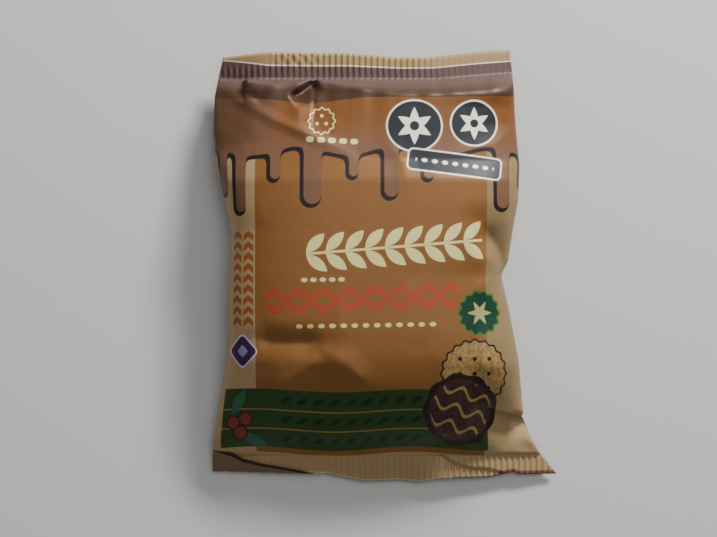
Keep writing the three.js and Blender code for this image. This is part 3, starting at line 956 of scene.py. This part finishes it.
# %% Chevrons and a plum lozenge
ORANGE = linear("#955228")
PLUM = linear("#3c1c48")
PLUM_RIM = linear("#cbbccb")
PLUM_MIDDLE = linear("#8f7aa0")
CHEVRON_PITCH = 3.0
CHEVRONS_LOW, CHEVRONS_HIGH = -17.15, 9.9
for at_u in (-42.2, -38.4):
    away = fold_over(beyond(art_u, at_u))
    zigzag = within(cell(scaled(away, 0.8, art_v), CHEVRON_PITCH), 0.85)
    chevron = both(zigzag, below(away, 1.55))
    colour = paint(colour, ORANGE, both(chevron, band(art_v, CHEVRONS_LOW, CHEVRONS_HIGH)))
spot = placed((-40.4, -24.0), 45)
for ink, half, corner in ((PLUM_RIM, 3.7, 1.4), (PLUM, 3.3, 1.2), (PLUM_MIDDLE, 1.3, 0.4)):
    colour = paint(colour, ink, inside(rounded_box(spot, (half, half), corner)))
print("chevrons in a column:", round((CHEVRONS_HIGH - CHEVRONS_LOW) / CHEVRON_PITCH))

# %% Rosette, leaves and berries
ROSETTE_RIM = linear("#4d6a28")
ROSETTE_GREEN = linear("#123c29")
ROSETTE_PETAL = linear("#a9a468")
LEAF_GREEN = linear("#2f6148")
BERRY_RIM = linear("#3b1712")
BERRY = linear("#7d3a2c")
spot = placed((27.0, -13.2))
for ink, radius in ((ROSETTE_RIM, 6.3), (ROSETTE_GREEN, 5.7)):
    colour = paint(colour, ink, inside(scalloped(spot, radius, 14, 0.35)))
for angle in (0, 60, 120):
    colour = paint(colour, ROSETTE_PETAL, inside(leaf(turned(spot, angle), (3.6, 0.8))))
for at, angle in (((-41.5, -38.6), 62), ((-37.0, -49.4), -28)):
    colour = paint(colour, LEAF_GREEN, inside(leaf(placed(at, angle), (4.4, 1.5))))
for at in ((-43.0, -44.6), (-39.4, -43.4), (-40.8, -47.4)):
    for ink, radius in ((BERRY_RIM, 2.15), (BERRY, 1.75)):
        colour = paint(colour, ink, inside(disc(placed(at), radius)))
print("small motifs, nodes so far:", len(tree.nodes))

# %% [markdown]
# ## Two printed biscuits
#
# One biscuit is baked plain, with a scalloped rim and prick holes, and the other is coated in chocolate
# with a wavy drizzle. Noise about a millimetre wide, cut off at one value, gives both a crumb of two
# tones, as coarse as it needs to be to show from above.

# %% Round biscuits
BISCUIT_DARK = linear("#2b1a18")
BISCUIT_TAN = linear("#a3834f")
BISCUIT_BROWN = linear("#8d6d3c")
COATING = linear("#4a302a")
COATING_DARK = linear("#3a2420")
CRUMB_MM = 1.11
crumb = node(tree, "ShaderNodeTexNoise", {"Vector": art, "Scale": 1 / CRUMB_MM, "Detail": 3.0})
crumb_mask = above(crumb, 0.52, 0.12)

spot = placed((25.5, -30.2))
colour = paint(colour, BISCUIT_DARK, inside(scalloped(spot, 9.6, 20, 0.3)))
baked = inside(scalloped(spot, 9.0, 20, 0.3))
colour = paint(colour, BISCUIT_TAN, baked)
colour = paint(colour, BISCUIT_BROWN, both(baked, crumb_mask))
hole = inside(disc((cell(spot[0], 4.2), cell(spot[1], 4.2)), 0.6))
colour = paint(colour, BISCUIT_DARK, both(hole, inside(disc(spot, 6.6))))

spot = placed((21.8, -40.8), -20)
colour = paint(colour, BISCUIT_DARK, inside(scalloped(spot, 10.6, 9, 0.35)))
coated = inside(disc(spot, 9.2))
colour = paint(colour, COATING, coated)
colour = paint(colour, COATING_DARK, both(coated, crumb_mask))
drizzle = within(cell(scaled(swinging(spot[0], 0.9), 1.3, spot[1]), 5.0), 0.5)
colour = paint(colour, BISCUIT_TAN, both(drizzle, inside(disc(spot, 8.6))))
print("print nodes:", len(tree.nodes))

# %% [markdown]
# ## Film finish
#
# The film is a biaxially oriented polypropylene laminate with a thin layer of metal under the ink. The
# ink hides most of the metal, so the surface looks like satin: a broad, soft highlight and a slight
# metallic depth in the gold. Fine crinkles from handling break up the highlight, some 6 mm apart and some
# about 1 mm, and the larger ones also make the film a little duller or shinier.

# %% Shader of the film
CRINKLE_MM, FINE_CRINKLE_MM = 6.25, 1.11
crinkle_at = node(tree, "ShaderNodeTexCoord", output=3)
crinkle = node(tree, "ShaderNodeTexNoise", {
    "Vector": crinkle_at, "Scale": 1 / (CRINKLE_MM * MM), "Detail": 3.0, "Roughness": 0.55,
})
fine = node(tree, "ShaderNodeTexNoise", {
    "Vector": crinkle_at, "Scale": 1 / (FINE_CRINKLE_MM * MM), "Detail": 2.0,
})
height = scaled(fine, 0.12, crinkle)
bump = node(tree, "ShaderNodeBump", {"Strength": 0.16, "Distance": 0.6 * MM, "Height": height})
shader = node(tree, "ShaderNodeBsdfPrincipled", {
    "Base Color": colour, "Roughness": scaled(crinkle, 0.12, 0.40), "Normal": bump, "Metallic": 0.15,
    "IOR": 1.5, "Specular IOR Level": 0.3, "Coat Weight": 0.05, "Coat Roughness": 0.3,
})
node(tree, "ShaderNodeOutputMaterial", [shader])
wrap.data.materials.clear()
wrap.data.materials.append(film)

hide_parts("pack")
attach(wrap, "root")
print("nodes of the film:", len(tree.nodes))

# %% [markdown]
# ## Table
#
# The pack was seen on a pale matt table. A plane much larger than the picture has no edge in view.

# %% Table
TABLE_WIDTH = 4000 * MM
bpy.ops.object.select_all(action="DESELECT")
bpy.ops.mesh.primitive_plane_add(size=TABLE_WIDTH, location=(0, 0, 0))
table = bpy.context.object
table.name = "table"
laminate = bpy.data.materials.new("pale matt laminate")
laminate.use_nodes = True
laminate_shader = laminate.node_tree.nodes["Principled BSDF"]
laminate_shader.inputs["Base Color"].default_value = linear("#d3d2ce")
laminate_shader.inputs["Roughness"].default_value = 0.75
table.data.materials.append(laminate)
print("table:", laminate.name)

# %% [markdown]
# ## Light
#
# The light came in low from beyond the pack's top right corner, so the shoulder shines and a soft shadow
# lies below the bottom seal. A rectangular lamp in that place stands in for the window. A second, weaker
# one above stands in for the light that the ceiling sends down, and the world fills the shadows.

# %% Lights
STUDIO_FILL = 0.25


def soft_light(name, place, size, power):
    """A rectangular lamp aimed at the pack. Places and sizes are in metres, power in watts."""
    data = bpy.data.lights.new(name, "AREA")
    data.shape = "RECTANGLE"
    data.size, data.size_y = size
    data.energy = power
    lamp = bpy.data.objects.new(name, data)
    bpy.context.collection.objects.link(lamp)
    lamp.location = place
    lamp.rotation_euler = (-Vector(place)).to_track_quat("-Z", "Y").to_euler()


soft_light("window", (0.3, 0.56, 0.31), (0.28, 0.08), 8.2)
soft_light("ceiling", (0.14, 0.22, 1.02), (0.6, 0.5), 2.7)
world = bpy.data.worlds.new("studio")
bpy.context.scene.world = world
world.use_nodes = True
background = world.node_tree.nodes["Background"]
background.inputs["Color"].default_value = linear("#dfe3e8")
background.inputs["Strength"].default_value = STUDIO_FILL

# %% [markdown]
# ## Camera
#
# The camera looks straight down. Its lens is worked out from two real sizes, how much of the plane half
# way up the pack fills the picture's width and how far the camera stands above the table.

# %% Camera
PHOTO_WIDTH_MM = 203.1
CAMERA_HEIGHT_MM = 600.0
PLANE_MM = 12.0
AIM_MM = (-7.1, -0.8)            # the pack lies a little off the middle
SENSOR_MM = 36
camera_data = bpy.data.cameras.new("overhead")
camera_data.sensor_width = SENSOR_MM
camera_data.lens = SENSOR_MM * (CAMERA_HEIGHT_MM - PLANE_MM) / PHOTO_WIDTH_MM
camera_data.clip_start = 0.01
camera = bpy.data.objects.new("overhead", camera_data)
camera.location = (AIM_MM[0] * MM, AIM_MM[1] * MM, CAMERA_HEIGHT_MM * MM)
bpy.context.collection.objects.link(camera)
bpy.context.scene.camera = camera
print("lens, mm:", round(camera_data.lens, 1))
